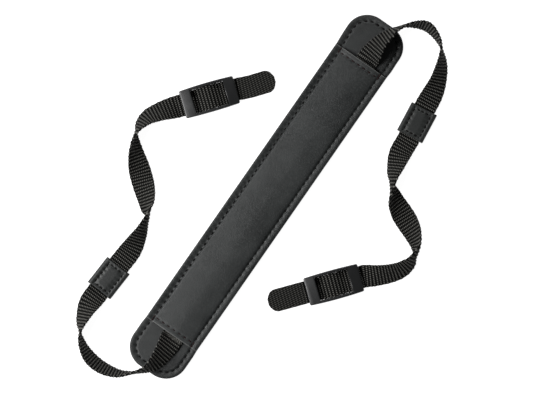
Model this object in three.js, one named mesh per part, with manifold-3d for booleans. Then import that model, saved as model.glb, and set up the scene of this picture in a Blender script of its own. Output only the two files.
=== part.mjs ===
// Laptop carry strap: a padded leather shoulder pad with a stitched sleeve, and at each end
// a woven webbing that runs through a leather keeper and a slider buckle to a free tail.
//
// Millimetres. The origin is the middle of the pad's underside, +X runs along the pad,
// +Y across it and +Z up. Everything lies on the plane z = 0, as the strap lies on a table.

import * as THREE from 'three';
import { mergeVertices } from 'three/addons/utils/BufferGeometryUtils.js';
import Module from 'manifold-3d';

const wasm = await Module();
wasm.setup();

// Clearance between pieces that touch, and between the webbing and the table
const GAP = 0.3;
const TABLE_GAP = 0.15;

// Shoulder pad
const PAD_LENGTH = 279;
const PAD_WIDTH = 40.4;
const PAD_CORNER = 15;
const PAD_EDGE = 3.4;
const PAD_CROWN = 3.7;
const PAD_EDGE_ROUND = 0.8;
const SEAM_INSET = 4.2;
const CROWN_INSETS = [SEAM_INSET, 7, 10, 14, 18.5];
const CORNER_STEPS = 10;

// Sleeve on the pad
const SLEEVE_START = -110.5;
const SLEEVE_END = 109.5;
const SLEEVE_WALL = 1.15;
const SLEEVE_THINNEST = 0.6;
const SLEEVE_RISE = 2.1;
const SLEEVE_STEPS = 40;
const FALL_LEFT = { from: 1, to: 15.7, power: 1.5 };
const FALL_RIGHT = { from: 8.5, to: 15.5, power: 2 };
const TUNNEL_FLAT = 11.2;

// Webbing
const WEBBING_WIDTH = 15;
const WEBBING_THICKNESS = 1.5;
const WEBBING_ACROSS = 4;
const STEPS_PER_ROW = 3;
const TAIL_LENGTH = 26.4;
const TAIL_ROUND = 6;
const TAIL_TIP_WIDTH = 4.5;
const TAIL_STEPS = [0.3, 0.5, 0.7, 0.85, 0.95, 1];

// Leather keeper
const KEEPER_LENGTH = 21;
const KEEPER_WIDTH = 19;
const KEEPER_WALL = 1.2;
const KEEPER_SLOT_HEIGHT = WEBBING_THICKNESS + 2 * GAP;
const KEEPER_HEIGHT = KEEPER_SLOT_HEIGHT + 2 * KEEPER_WALL;
const KEEPER_ROUND = 1.7;
const KEEPER_SLOT_ROUND = 0.6;
const KEEPER_EASE = 3;

// Slider buckle
const BUCKLE_LENGTH = 37;
const BUCKLE_END_WIDTH = 18.6;
const BUCKLE_MIDDLE_WIDTH = 19.6;
const BUCKLE_END_HEIGHT = 4.4;
const BUCKLE_MIDDLE_HEIGHT = 6.2;
const BUCKLE_CORNER = 1.2;
const BUCKLE_EASE = 3;
const WINDOW_LENGTH = 22.4;
const WINDOW_WIDTH = WEBBING_WIDTH + 2 * GAP;
const PLATE_UNDERSIDE = 2.1;
const BAR_LENGTH = 3.4;
const BAR_HEIGHT = 2.8;
const BAR_LIFT = 0.3;
const BAR_EASE = 0.5;
const BAR_SLOPE = 6;
const BUCKLE_STEPS = 12;

// Heights of what the webbing lies on
const ON_TABLE = TABLE_GAP;
const ON_PAD = PAD_CROWN + GAP;
const IN_KEEPER = KEEPER_WALL + GAP;
const ON_BAR = BAR_HEIGHT + GAP;

// How each webbing lies. A row is a section of it: where its middle is along and across the
// pad, how far it is rolled about its own length (degrees, 0 is flat and 90 stands on edge,
// leaning to its right), the height of what it lies on, and how far it is cupped.
const COLUMNS = ['along', 'across', 'roll', 'rest', 'cup'];
const STRAPS = {
  a: {
    lead: [
      [0.15, -1, 0, ON_PAD, 0],
      [55, -1.5, 0, ON_PAD, 0],
      [108, -2.9, 0, ON_PAD, 0],
      [111.6, -3.1, 0, ON_PAD, 0],
      [114.8, -3, -14, ON_PAD, 0],
      [118.5, -2.9, -30, ON_PAD, 0],
      [123.5, -2.9, -43, ON_PAD, 0],
      [128.5, -3.6, -55, ON_PAD, 0],
      [133.6, -5.1, -65, ON_PAD, 0],
      [139, -6.7, -76, 3.8, 0],
      [144.6, -10.2, -89, 1.8, 0.4],
      [149.6, -15.5, -102, 0.5, 0.4],
      [152.6, -22.5, -110, ON_TABLE, 0],
      [151.4, -30, -103, ON_TABLE, 0],
      [148, -36.8, -92, ON_TABLE, 0.4],
      [142.1, -42.2, -72, ON_TABLE, 0.4],
      [135.1, -46.1, -55, ON_TABLE, 0],
      [127.4, -49.1, -41, ON_TABLE, 0],
      [118.9, -51, -20, 0.6, 0],
    ],
    keeper: { along: 97, across: -53.6, heading: 186.8 },
    twist: [
      [74.8, -55.9, 12, 0.6, 0],
      [66.3, -58, 42, ON_TABLE, 0.6],
      [58.5, -60.3, 66, ON_TABLE, 1.8],
      [52.6, -64.5, 97, ON_TABLE, 2.4],
      [46.6, -70.6, 136, ON_TABLE, 1.2],
      [42.7, -78.3, 165, ON_TABLE, 0],
      [39.2, -86.2, 196, ON_TABLE, 0],
      [35.4, -93.5, 221, ON_TABLE, 0.8],
      [30.8, -99.4, 247, ON_TABLE, 2],
      [24.9, -102, 274, ON_TABLE, 2.4],
      [18.3, -102.6, 302, ON_TABLE, 1],
      [11.1, -100.2, 317, ON_TABLE, 0],
      [4.7, -95.5, 326, ON_TABLE, 0],
      [-1.4, -89, 338, ON_TABLE, 0],
    ],
    buckle: { along: -22.4, across: -69.5, heading: 140.2, drift: 0 },
  },
  b: {
    lead: [
      [-0.15, -1, 0, ON_PAD, 0],
      [-55, -1, 0, ON_PAD, 0],
      [-109, -1.6, 0, ON_PAD, 0],
      [-112.6, -1.9, 0, ON_PAD, 0],
      [-115.6, -2.1, -14, ON_PAD, 0],
      [-120, -2.4, -30, ON_PAD, 0],
      [-126, -2.4, -43, ON_PAD, 0],
      [-132, -1.8, -55, ON_PAD, 0],
      [-139.3, 0.7, -73, 3.7, 0],
      [-145.8, 6.4, -88, 1.6, 0.4],
      [-151, 12.5, -102, 0.3, 0.4],
      [-153.6, 19.9, -113, ON_TABLE, 0],
      [-154.6, 27.7, -119, ON_TABLE, 0],
      [-153.6, 35.4, -118, ON_TABLE, 0],
      [-150.4, 42.5, -107, ON_TABLE, 0],
      [-145.5, 48.7, -93, ON_TABLE, 0.4],
      [-138.9, 52.7, -67, ON_TABLE, 0.4],
      [-131.4, 54.8, -45, ON_TABLE, 0],
      [-124, 56, -18, 0.6, 0],
    ],
    keeper: { along: -103.7, across: 55.1, heading: -3.2 },
    twist: [
      [-81, 53.8, 16, 0.6, 0],
      [-72, 54.3, 44, ON_TABLE, 0.4],
      [-64, 55, 66, ON_TABLE, 1.2],
      [-56, 57, 88, ON_TABLE, 1.8],
      [-50.4, 60.7, 124, ON_TABLE, 1],
      [-45.1, 65.6, 147, ON_TABLE, 0],
      [-40, 71.3, 168, ON_TABLE, 0],
      [-34.9, 77.4, 189, ON_TABLE, 0],
      [-29.6, 83.3, 214, ON_TABLE, 0],
      [-23.7, 89.2, 238, ON_TABLE, 0.6],
      [-17.2, 93.8, 262, ON_TABLE, 1.2],
      [-9.6, 95.7, 293, ON_TABLE, 0.6],
      [-1.4, 94.3, 313, ON_TABLE, 0],
      [5.5, 90.3, 325, ON_TABLE, 0],
      [11.6, 85.6, 343, ON_TABLE, 0],
    ],
    buckle: { along: 32.5, across: 68.7, heading: -38.9, drift: 0.7 },
  },
};

// Materials

const leather = () => new THREE.MeshStandardMaterial({ color: 0x2c2e2e, roughness: 0.55 });
const webbingYarn = () => new THREE.MeshStandardMaterial({ color: 0x151614, roughness: 0.7 });
const plastic = () => new THREE.MeshStandardMaterial({ color: 0x202122, roughness: 0.45 });

// Small helpers

function mesh(name, geometry, material) {
  const piece = new THREE.Mesh(geometry, material);
  piece.name = name;
  return piece;
}

// A closed solid from rings of equal length, each joined to the next, with the first and last
// ring filled by a fan from its first point. The rings turn left seen from the last ring.
function stackRings(rings) {
  const count = rings[0].length;
  const index = [];
  for (let k = 0; k + 1 < rings.length; k += 1) {
    for (let i = 0; i < count; i += 1) {
      const next = (i + 1) % count;
      const [a, b] = [k * count + i, k * count + next];
      index.push(a, b, b + count, a, b + count, a + count);
    }
  }
  const last = (rings.length - 1) * count;
  for (let i = 1; i + 1 < count; i += 1) {
    index.push(0, i + 1, i, last, last + i, last + i + 1);
  }
  const geometry = new THREE.BufferGeometry().setFromPoints(rings.flat());
  geometry.setIndex(index);
  return geometry;
}

// A closed solid from sections of a sheet, each with its upper and its lower row of points
function loftSheet(sections) {
  const across = sections[0].upper.length;
  const rings = sections.map(({ upper, lower }) => [...lower, ...[...upper].reverse()]);
  const count = 2 * across;
  const index = [];
  for (let k = 0; k + 1 < rings.length; k += 1) {
    for (let i = 0; i < count; i += 1) {
      const next = (i + 1) % count;
      const [a, b] = [k * count + i, k * count + next];
      index.push(a, b + count, b, a, a + count, b + count);
    }
  }
  const last = (rings.length - 1) * count;
  for (let i = 0; i + 1 < across; i += 1) {
    const [low, high] = [i, count - 1 - i];
    index.push(low, low + 1, high - 1, low, high - 1, high);
    index.push(last + low, last + high - 1, last + low + 1, last + low, last + high, last + high - 1);
  }
  const geometry = new THREE.BufferGeometry().setFromPoints(rings.flat());
  geometry.setIndex(index);
  return geometry;
}

// Shoulder pad: its outline, drawn smaller and smaller, stacked to a low crown

function padOutline(inset, height) {
  const corner = Math.max(PAD_CORNER - inset, GAP);
  const centreX = PAD_LENGTH / 2 - inset - corner;
  const centreY = PAD_WIDTH / 2 - inset - corner;
  const points = [];
  for (let quarter = 0; quarter < 4; quarter += 1) {
    const signX = quarter === 0 || quarter === 3 ? 1 : -1;
    const signY = quarter < 2 ? 1 : -1;
    for (let step = 0; step <= CORNER_STEPS; step += 1) {
      const angle = (quarter + step / CORNER_STEPS) * (Math.PI / 2);
      points.push(new THREE.Vector3(
        signX * centreX + corner * Math.cos(angle),
        signY * centreY + corner * Math.sin(angle),
        height,
      ));
    }
  }
  return points;
}

function padHeight(inset) {
  const reach = (inset - SEAM_INSET) / (PAD_WIDTH / 2 - SEAM_INSET);
  return PAD_EDGE + (PAD_CROWN - PAD_EDGE) * (1 - (1 - reach) ** 2);
}

function padBase() {
  return stackRings([
    padOutline(PAD_EDGE_ROUND, 0),
    padOutline(0, PAD_EDGE_ROUND),
    padOutline(0, PAD_EDGE - PAD_EDGE_ROUND),
    padOutline(PAD_EDGE_ROUND, PAD_EDGE),
    ...CROWN_INSETS.map((inset) => padOutline(inset, padHeight(inset))),
  ]);
}

// Sleeve: one crowned section, the same all along, with the tunnel for the webbing under it

// The webbing lies a little to the right in the tunnel, so the sleeve falls slowly to the left
// seam and steeply to the right one.
function sleeveTop(y) {
  const border = PAD_EDGE + GAP + SLEEVE_WALL;
  const { from, to, power } = y > 0 ? FALL_LEFT : FALL_RIGHT;
  const reach = THREE.MathUtils.clamp((Math.abs(y) - from) / (to - from), 0, 1);
  return border + SLEEVE_RISE * (1 - reach ** power);
}

function sleeveUnderside(y) {
  const border = PAD_EDGE + GAP;
  const tunnel = ON_PAD + WEBBING_THICKNESS + GAP;
  const seam = PAD_WIDTH / 2 - SEAM_INSET;
  const fall = THREE.MathUtils.smoothstep(Math.abs(y), TUNNEL_FLAT, seam);
  return Math.min(tunnel + (border - tunnel) * fall, sleeveTop(y) - SLEEVE_THINNEST);
}

function padSleeve() {
  const section = (x) => {
    const upper = [];
    const lower = [];
    for (let step = 0; step <= SLEEVE_STEPS; step += 1) {
      const y = PAD_WIDTH * (0.5 - step / SLEEVE_STEPS);
      upper.push(new THREE.Vector3(x, y, sleeveTop(y)));
      lower.push(new THREE.Vector3(x, y, sleeveUnderside(y)));
    }
    return { upper, lower };
  };
  return loftSheet([section(SLEEVE_START), section(SLEEVE_END)]);
}

// Webbing: a ribbon lofted along its route

// Rows of the straight stretch through a keeper or a buckle, from the distance along its
// axis, the height that the webbing lies on there and how far it has drifted to its right
function straightRows(place, stations) {
  const heading = THREE.MathUtils.degToRad(place.heading);
  const [cos, sin] = [Math.cos(heading), Math.sin(heading)];
  return stations.map(([distance, rest, drift = 0]) => ({
    along: place.along + distance * cos + drift * sin,
    across: place.across + distance * sin - drift * cos,
    rest,
  }));
}

function routeRows({ lead, keeper, twist, buckle }) {
  const named = (row) => Object.fromEntries(COLUMNS.map((column, i) => [column, row[i]]));
  const mouth = KEEPER_LENGTH / 2;
  const inKeeper = straightRows(keeper, [
    [-mouth - KEEPER_EASE, IN_KEEPER],
    [-mouth, IN_KEEPER],
    [0, IN_KEEPER],
    [mouth, IN_KEEPER],
    [mouth + KEEPER_EASE, IN_KEEPER],
  ]);
  const end = BUCKLE_LENGTH / 2;
  const plate = WINDOW_LENGTH / 2;
  const bar = BAR_LENGTH / 2 + BAR_EASE;
  const foot = bar + BAR_SLOPE;
  const tail = [1, 2, 3].map((part) => [end + (TAIL_LENGTH * part) / 3, ON_TABLE, buckle.drift]);
  const inBuckle = straightRows(buckle, [
    [-end - BUCKLE_EASE, ON_TABLE],
    [-end, ON_TABLE],
    [-plate, ON_TABLE],
    [-foot, ON_TABLE],
    [-bar, ON_BAR],
    [bar, ON_BAR],
    [foot, ON_TABLE],
    [plate, ON_TABLE],
    [end, ON_TABLE],
    ...tail,
  ]);
  return [
    ...lead.map(named),
    ...inKeeper.map((row) => ({ ...row, roll: 0, cup: 0 })),
    ...twist.map(named),
    ...inBuckle.map((row) => ({ ...row, roll: 360, cup: 0 })),
  ];
}

// Height of the webbing's middle, when its lower edge or face lies on something
function middleHeight({ roll, rest, cup }) {
  const angle = THREE.MathUtils.degToRad(roll);
  const edge = (WEBBING_WIDTH / 2) * Math.abs(Math.sin(angle)) + (cup / 2) * Math.cos(angle);
  return rest + edge + (WEBBING_THICKNESS / 2) * Math.abs(Math.cos(angle));
}

// The free end is rounded: its width shrinks along a quarter of an ellipse
function widthAt(distanceToEnd) {
  const reach = Math.min(distanceToEnd / TAIL_ROUND, 1);
  return Math.max(WEBBING_WIDTH * Math.sqrt(1 - (1 - reach) ** 2), TAIL_TIP_WIDTH);
}

function webbingSection(curve, shape, t) {
  const [roll, cup, restThere] = shape.getPoint(t).toArray();
  const rest = Math.max(restThere, ON_TABLE);
  const middle = curve.getPoint(t);
  middle.z = Math.max(middle.z, middleHeight({ roll, rest, cup }));
  const tangent = curve.getTangent(t);
  const right = tangent.clone().cross(new THREE.Vector3(0, 0, 1)).normalize();
  const up = right.clone().cross(tangent);
  const angle = THREE.MathUtils.degToRad(roll);
  const face = up.clone().multiplyScalar(Math.cos(angle)).addScaledVector(right, Math.sin(angle));
  const weft = right.clone().multiplyScalar(Math.cos(angle)).addScaledVector(up, -Math.sin(angle));
  const halfWidth = widthAt(middle.distanceTo(curve.points.at(-1))) / 2;
  const upper = [];
  const lower = [];
  for (let step = 0; step <= WEBBING_ACROSS; step += 1) {
    const side = (2 * step) / WEBBING_ACROSS - 1;
    const bulge = cup * (0.5 - side ** 2);
    const point = middle.clone().addScaledVector(weft, side * halfWidth);
    upper.push(point.clone().addScaledVector(face, bulge + WEBBING_THICKNESS / 2));
    lower.push(point.clone().addScaledVector(face, bulge - WEBBING_THICKNESS / 2));
  }
  return { upper, lower };
}

// Places of the sections on the curve: evenly between the rows, closer at the rounded end
function sectionPlaces(rowCount) {
  const spans = rowCount - 1;
  const places = [];
  for (let step = 0; step <= (spans - 1) * STEPS_PER_ROW; step += 1) {
    places.push(step / (spans * STEPS_PER_ROW));
  }
  TAIL_STEPS.forEach((part) => places.push((spans - 1 + part) / spans));
  return places;
}

function webbing(strap) {
  const rows = routeRows(strap);
  const middles = rows.map((row) => new THREE.Vector3(row.along, row.across, middleHeight(row)));
  const shapes = rows.map((row) => new THREE.Vector3(row.roll, row.cup, row.rest));
  const curve = new THREE.CatmullRomCurve3(middles, false, 'catmullrom', 0.5);
  const shape = new THREE.CatmullRomCurve3(shapes, false, 'catmullrom', 0.5);
  return loftSheet(sectionPlaces(rows.length).map((t) => webbingSection(curve, shape, t)));
}

// Keeper: leather folded round the webbing

function roundedRectangle(path, width, bottom, top, radius) {
  const half = width / 2;
  path.moveTo(-half + radius, bottom);
  path.lineTo(half - radius, bottom);
  path.absarc(half - radius, bottom + radius, radius, -Math.PI / 2, 0, false);
  path.lineTo(half, top - radius);
  path.absarc(half - radius, top - radius, radius, 0, Math.PI / 2, false);
  path.lineTo(-half + radius, top);
  path.absarc(-half + radius, top - radius, radius, Math.PI / 2, Math.PI, false);
  path.lineTo(-half, bottom + radius);
  path.absarc(-half + radius, bottom + radius, radius, Math.PI, 1.5 * Math.PI, false);
}

function keeper() {
  const slotWidth = KEEPER_WIDTH - 2 * KEEPER_WALL;
  const slotTop = KEEPER_WALL + KEEPER_SLOT_HEIGHT;
  const outside = new THREE.Shape();
  const slot = new THREE.Path();
  roundedRectangle(outside, KEEPER_WIDTH, 0, KEEPER_HEIGHT, KEEPER_ROUND);
  roundedRectangle(slot, slotWidth, KEEPER_WALL, slotTop, KEEPER_SLOT_ROUND);
  outside.holes.push(slot);
  const geometry = new THREE.ExtrudeGeometry(outside, {
    depth: KEEPER_LENGTH,
    bevelEnabled: false,
    curveSegments: 5,
  });
  // Drawn across and up, and extruded towards +X about the origin
  geometry.translate(0, 0, -KEEPER_LENGTH / 2);
  geometry.rotateX(Math.PI / 2);
  geometry.rotateZ(Math.PI / 2);
  return geometry;
}

// Buckle: a barrel-shaped plate with an arched top, cut open for the webbing, and a bar

function toSolid(geometry) {
  const plain = geometry.clone();
  plain.deleteAttribute('normal');
  plain.deleteAttribute('uv');
  const merged = mergeVertices(plain, 1e-4);
  return new wasm.Manifold(new wasm.Mesh({
    numProp: 3,
    vertProperties: new Float32Array(merged.attributes.position.array),
    triVerts: new Uint32Array(merged.index.array),
  }));
}

function toGeometry(solid) {
  const { vertProperties, triVerts } = solid.getMesh();
  const geometry = new THREE.BufferGeometry();
  geometry.setAttribute('position', new THREE.BufferAttribute(vertProperties, 3));
  geometry.setIndex(new THREE.BufferAttribute(triVerts, 1));
  return geometry;
}

function block(lengthX, widthY, bottom, top) {
  const geometry = new THREE.BoxGeometry(lengthX, widthY, top - bottom);
  geometry.translate(0, 0, (bottom + top) / 2);
  return toSolid(geometry);
}

function bulge(x, atEnd, inMiddle) {
  return inMiddle + (atEnd - inMiddle) * (x / (BUCKLE_LENGTH / 2)) ** 2;
}

function bucklePlan() {
  const plan = new THREE.Shape();
  const end = BUCKLE_LENGTH / 2;
  const shoulder = end - BUCKLE_CORNER;
  const cornerY = BUCKLE_END_WIDTH / 2 - BUCKLE_CORNER;
  const side = [];
  for (let step = 0; step <= BUCKLE_STEPS; step += 1) {
    const x = shoulder * (1 - (2 * step) / BUCKLE_STEPS);
    side.push([x, bulge(x, BUCKLE_END_WIDTH, BUCKLE_MIDDLE_WIDTH) / 2]);
  }
  plan.moveTo(end, -cornerY);
  plan.lineTo(end, cornerY);
  plan.quadraticCurveTo(end, side[0][1], ...side[0]);
  side.slice(1).forEach(([x, y]) => plan.lineTo(x, y));
  plan.quadraticCurveTo(-end, side[0][1], -end, cornerY);
  plan.lineTo(-end, -cornerY);
  plan.quadraticCurveTo(-end, -side[0][1], -side[0][0], -side[0][1]);
  [...side].reverse().slice(1).forEach(([x, y]) => plan.lineTo(x, -y));
  plan.quadraticCurveTo(end, -side[0][1], end, -cornerY);
  return plan;
}

function buckleArch() {
  const profile = new THREE.Shape();
  const end = BUCKLE_LENGTH / 2;
  profile.moveTo(-end, 0);
  profile.lineTo(end, 0);
  for (let step = 0; step <= BUCKLE_STEPS; step += 1) {
    const x = end * (1 - (2 * step) / BUCKLE_STEPS);
    profile.lineTo(x, bulge(x, BUCKLE_END_HEIGHT, BUCKLE_MIDDLE_HEIGHT));
  }
  const geometry = new THREE.ExtrudeGeometry(profile, {
    depth: 2 * BUCKLE_MIDDLE_WIDTH,
    bevelEnabled: false,
  });
  geometry.translate(0, 0, -BUCKLE_MIDDLE_WIDTH);
  geometry.rotateX(Math.PI / 2);
  return geometry;
}

function buckle() {
  const plan = new THREE.ExtrudeGeometry(bucklePlan(), {
    depth: BUCKLE_MIDDLE_HEIGHT,
    bevelEnabled: false,
    curveSegments: 4,
  });
  const past = 1;
  const window = block(WINDOW_LENGTH, WINDOW_WIDTH, -past, BUCKLE_MIDDLE_HEIGHT + past);
  const passage = block(BUCKLE_LENGTH + past, WINDOW_WIDTH, -past, PLATE_UNDERSIDE);
  const bar = block(BAR_LENGTH, WINDOW_WIDTH + past, BAR_LIFT, BAR_HEIGHT);
  const frame = toSolid(plan).intersect(toSolid(buckleArch())).subtract(window).subtract(passage);
  return toGeometry(frame.add(bar));
}

// The whole strap

function placed(piece, place) {
  piece.position.set(place.along, place.across, 0);
  piece.rotation.z = THREE.MathUtils.degToRad(place.heading);
  return piece;
}

const strap = new THREE.Group();
strap.add(mesh('pad_base', padBase(), leather()));
strap.add(mesh('pad_sleeve', padSleeve(), leather()));
for (const [side, parts] of Object.entries(STRAPS)) {
  strap.add(mesh(`webbing_${side}`, webbing(parts), webbingYarn()));
  strap.add(placed(mesh(`keeper_${side}`, keeper(), leather()), parts.keeper));
  strap.add(placed(mesh(`buckle_${side}`, buckle(), plastic()), parts.buckle));
}

export default strap;
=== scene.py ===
# %% [markdown]
# # A laptop carry strap
# A leather shoulder pad lies flat on a pale table. A leather sleeve is stitched on it, and a
# woven webbing comes out of each end of the sleeve, turns on edge round its bends, and runs
# through a leather keeper and a slider buckle to a short free tail.
#
# The lesson builds each piece from the rule that its maker follows: a leather panel is a
# height over its outline, webbing is a ribbon along a route, and stitches repeat along a seam.

import math

import bmesh
import bpy
import numpy as np
from mathutils import Matrix, Vector


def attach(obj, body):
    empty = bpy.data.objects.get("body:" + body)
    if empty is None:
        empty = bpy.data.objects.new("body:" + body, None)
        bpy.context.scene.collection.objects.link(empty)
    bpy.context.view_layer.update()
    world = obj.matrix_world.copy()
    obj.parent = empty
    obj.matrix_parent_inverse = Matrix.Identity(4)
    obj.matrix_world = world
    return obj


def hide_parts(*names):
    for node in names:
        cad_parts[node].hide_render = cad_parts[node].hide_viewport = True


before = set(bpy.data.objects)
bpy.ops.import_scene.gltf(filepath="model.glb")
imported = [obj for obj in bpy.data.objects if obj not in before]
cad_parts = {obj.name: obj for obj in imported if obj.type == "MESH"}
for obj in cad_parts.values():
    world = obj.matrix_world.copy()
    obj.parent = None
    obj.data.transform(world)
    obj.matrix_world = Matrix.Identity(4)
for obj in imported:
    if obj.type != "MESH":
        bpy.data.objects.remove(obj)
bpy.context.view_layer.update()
MM = 0.001


def new_object(name, data):
    """An object that holds the data, put into the scene."""
    made = bpy.data.objects.new(name, data)
    bpy.context.collection.objects.link(made)
    return made


print("nodes", sorted(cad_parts))

# %% [markdown]
# ## Camera
# The photograph looks straight down from far away, so a long lens hangs high over the table.
# One pixel is 0.662 mm, which comes from the webbing's 15 mm width. The picture is rolled
# against the pad, so the camera's right and up directions are given in the pad's own axes.

# %% Camera
PIXEL = 0.662
PICTURE_WIDTH = 533
PICTURE_RIGHT = Vector((0.571, -0.821, 0)).normalized()
PICTURE_UP = Vector((0.821, 0.571, 0)).normalized()
PICTURE_CENTRE = Vector((-1.76, -1.06, 0))
LENS = 200
SENSOR = 36

lens = bpy.data.cameras.new("camera")
lens.lens = LENS
lens.sensor_width = SENSOR
lens.clip_end = 10
camera = new_object("camera", lens)
height = PICTURE_WIDTH * PIXEL * LENS / SENSOR
turn = Matrix((PICTURE_RIGHT, PICTURE_UP, Vector((0, 0, 1)))).transposed().to_4x4()
camera.matrix_world = Matrix.Translation((PICTURE_CENTRE + Vector((0, 0, height))) * MM) @ turn
bpy.context.scene.camera = camera
bpy.context.scene.view_settings.view_transform = "Standard"
print("camera height", round(height), "mm")

# %% [markdown]
# ## Light
# A soft light stands to the left of the picture, halfway up the sky, so leather that leans
# left shines, leather that leans right falls off, and a mouth of the sleeve shades the webbing.
# A small weak light beyond the top of the picture draws a thin line on edges that face it. The
# table glows, which keeps it as plain and pale as in the photograph, with a trace of shadow.


# %% Light
def soft_light(name, right, up, high, size, watts):
    """A square light at a place in the picture's directions (metres), aimed at its middle."""
    data = bpy.data.lights.new(name, "AREA")
    data.size = size
    data.energy = watts
    lamp = new_object(name, data)
    place = PICTURE_RIGHT * right + PICTURE_UP * up + Vector((0, 0, high))
    lamp.location = place
    lamp.rotation_mode = "QUATERNION"
    lamp.rotation_quaternion = place.to_track_quat("Z", "Y")
    return lamp


ROOM_LIGHT = 0.08
lights = [
    soft_light("key_light", right=-0.74, up=-0.10, high=0.74, size=0.45, watts=12.3),
    soft_light("top_light", right=0.1, up=1.0, high=0.75, size=0.25, watts=5),
]
room = bpy.data.worlds.new("room")
room.use_nodes = True
backdrop = room.node_tree.nodes["Background"]
backdrop.inputs["Color"].default_value = (1, 1, 1, 1)
backdrop.inputs["Strength"].default_value = ROOM_LIGHT
bpy.context.scene.world = room
print("lights", [lamp.name for lamp in lights])

# %% [markdown]
# ## Node helpers
# Shader and Geometry Nodes trees are both lists of nodes with links between them. Small
# helpers keep the trees readable: they add a node with its inputs, a step of arithmetic, a
# mix of two colours, a noise or a bump, and an empty group with its named sockets.


# %% Node helpers
def fill(tree, node, inputs):
    """Sets a node's inputs to values, or links them from sockets."""
    for key, value in inputs.items():
        if isinstance(value, bpy.types.NodeSocket):
            tree.links.new(value, node.inputs[key])
        else:
            node.inputs[key].default_value = value
    return node


def add(tree, kind, inputs=None, **settings):
    """A new node with its settings and inputs."""
    node = tree.nodes.new(kind)
    for key, value in settings.items():
        setattr(node, key, value)
    return fill(tree, node, inputs or {})


def calc(tree, operation, a, b=0.0, c=0.0):
    """The output of one Math node."""
    return add(tree, "ShaderNodeMath", {0: a, 1: b, 2: c}, operation=operation).outputs[0]


def mix(tree, factor, a, b):
    """A colour between two colours."""
    return add(tree, "ShaderNodeMix", {"Factor": factor, "A": a, "B": b},
               data_type="RGBA").outputs["Result"]


def noise(tree, where, scale, detail=2.0, output="Fac"):
    return add(tree, "ShaderNodeTexNoise", {
        "Vector": where, "Scale": scale, "Detail": detail,
    }).outputs[output]


def bump(tree, height, strength, distance):
    """The normal of a skin with this height, whose full rise is the distance in metres."""
    return add(tree, "ShaderNodeBump", {
        "Height": height, "Strength": strength, "Distance": distance,
    }).outputs["Normal"]


def node_group(name, kind, sockets):
    """An empty group with its named sockets: (direction, name, type, default)."""
    group = bpy.data.node_groups.new(name, kind)
    for direction, label, socket_type, default in sockets:
        socket = group.interface.new_socket(label, in_out=direction, socket_type=socket_type)
        if default is not None:
            socket.default_value = default
    return group, group.nodes.new("NodeGroupInput").outputs, group.nodes.new("NodeGroupOutput")


FLOAT = "NodeSocketFloat"
SHAPE = "NodeSocketGeometry"

# %% [markdown]
# ## Leather grain
# The leather is a dark grey hide with a fine pebble grain, faint cloudy colour and a few pale
# specks of dust. One shader group makes the height of the grain, the clouds and the dust, and
# every leather uses it with its own shades, so pad and keepers look cut from one hide.


# %% Leather grain group
GRAIN_BEND = 0.0006
CREASE_WIDTH = 0.22
FINE_SHARE = 0.7
CLOUD_SPAN, MOTTLE_SPAN, TONE_SHIFT = 2.0, 0.3, -0.65
SPECK_SIZE, SPECK_RARITY = 0.09, 0.8


def grain_group():
    group, given, out = node_group("leather grain", "ShaderNodeTree", [
        ("INPUT", "Pebbles per metre", FLOAT, 1500.0),
        ("INPUT", "Clouds per metre", FLOAT, 60.0),
        ("OUTPUT", "Height", FLOAT, None),
        ("OUTPUT", "Tone", FLOAT, None),
        ("OUTPUT", "Dust", FLOAT, None),
    ])
    where = add(group, "ShaderNodeTexCoord").outputs["Object"]
    warp = noise(group, where, scale=900.0, output="Color")
    bent = add(group, "ShaderNodeVectorMath", {
        0: warp, 1: (GRAIN_BEND,) * 3, 2: where,
    }, operation="MULTIPLY_ADD").outputs[0]
    pebble = add(group, "ShaderNodeTexVoronoi", {
        "Vector": bent, "Scale": given["Pebbles per metre"],
    }, feature="DISTANCE_TO_EDGE").outputs["Distance"]
    crease = add(group, "ShaderNodeMapRange", {
        "Value": pebble, "From Max": CREASE_WIDTH, "To Min": 0.0, "To Max": 1.0,
    }, interpolation_type="SMOOTHSTEP").outputs[0]
    fine = noise(group, where, scale=1300.0, detail=3.0)
    height = calc(group, "MULTIPLY_ADD", fine, FINE_SHARE, crease)
    clouds = noise(group, where, scale=given["Clouds per metre"], detail=4.0)
    mottle = noise(group, where, scale=650.0, detail=1.0)
    tone = calc(group, "MULTIPLY_ADD", clouds, CLOUD_SPAN,
                calc(group, "MULTIPLY_ADD", mottle, MOTTLE_SPAN, TONE_SHIFT))
    speck = add(group, "ShaderNodeTexVoronoi", {"Vector": where, "Scale": 240.0})
    near = calc(group, "LESS_THAN", speck.outputs["Distance"], SPECK_SIZE)
    chosen = calc(group, "GREATER_THAN", speck.outputs["Color"], SPECK_RARITY)
    fill(group, out, {
        "Height": height, "Tone": tone, "Dust": calc(group, "MULTIPLY", near, chosen),
    })
    return group


leather_grain = grain_group()
print("group", leather_grain.name, "with", len(leather_grain.nodes), "nodes")

# %% [markdown]
# ## Finishes
# The strap is made of leather in three shades, one of them the pad's leather made darker to
# paint the shade on the pad's base. Then come black and brown thread, the webbing's yarn, and
# the moulded plastic of the buckles. Each is a Principled shader with its own bump.


# %% Leather finish
DUST_SHARE, DUST_GREY = 0.3, (0.12, 0.12, 0.12, 1)
CUT_EDGE_AND_HIGHLIGHT_GREY = (0.10, 0.103, 0.10, 1)
ROUGH_SPAN = 0.08
GRAIN_DEPTH = 0.00005


def new_material(name):
    material = bpy.data.materials.new(name)
    material.use_nodes = True
    tree = material.node_tree
    shader = tree.nodes["Principled BSDF"]
    return material, tree, shader


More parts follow.
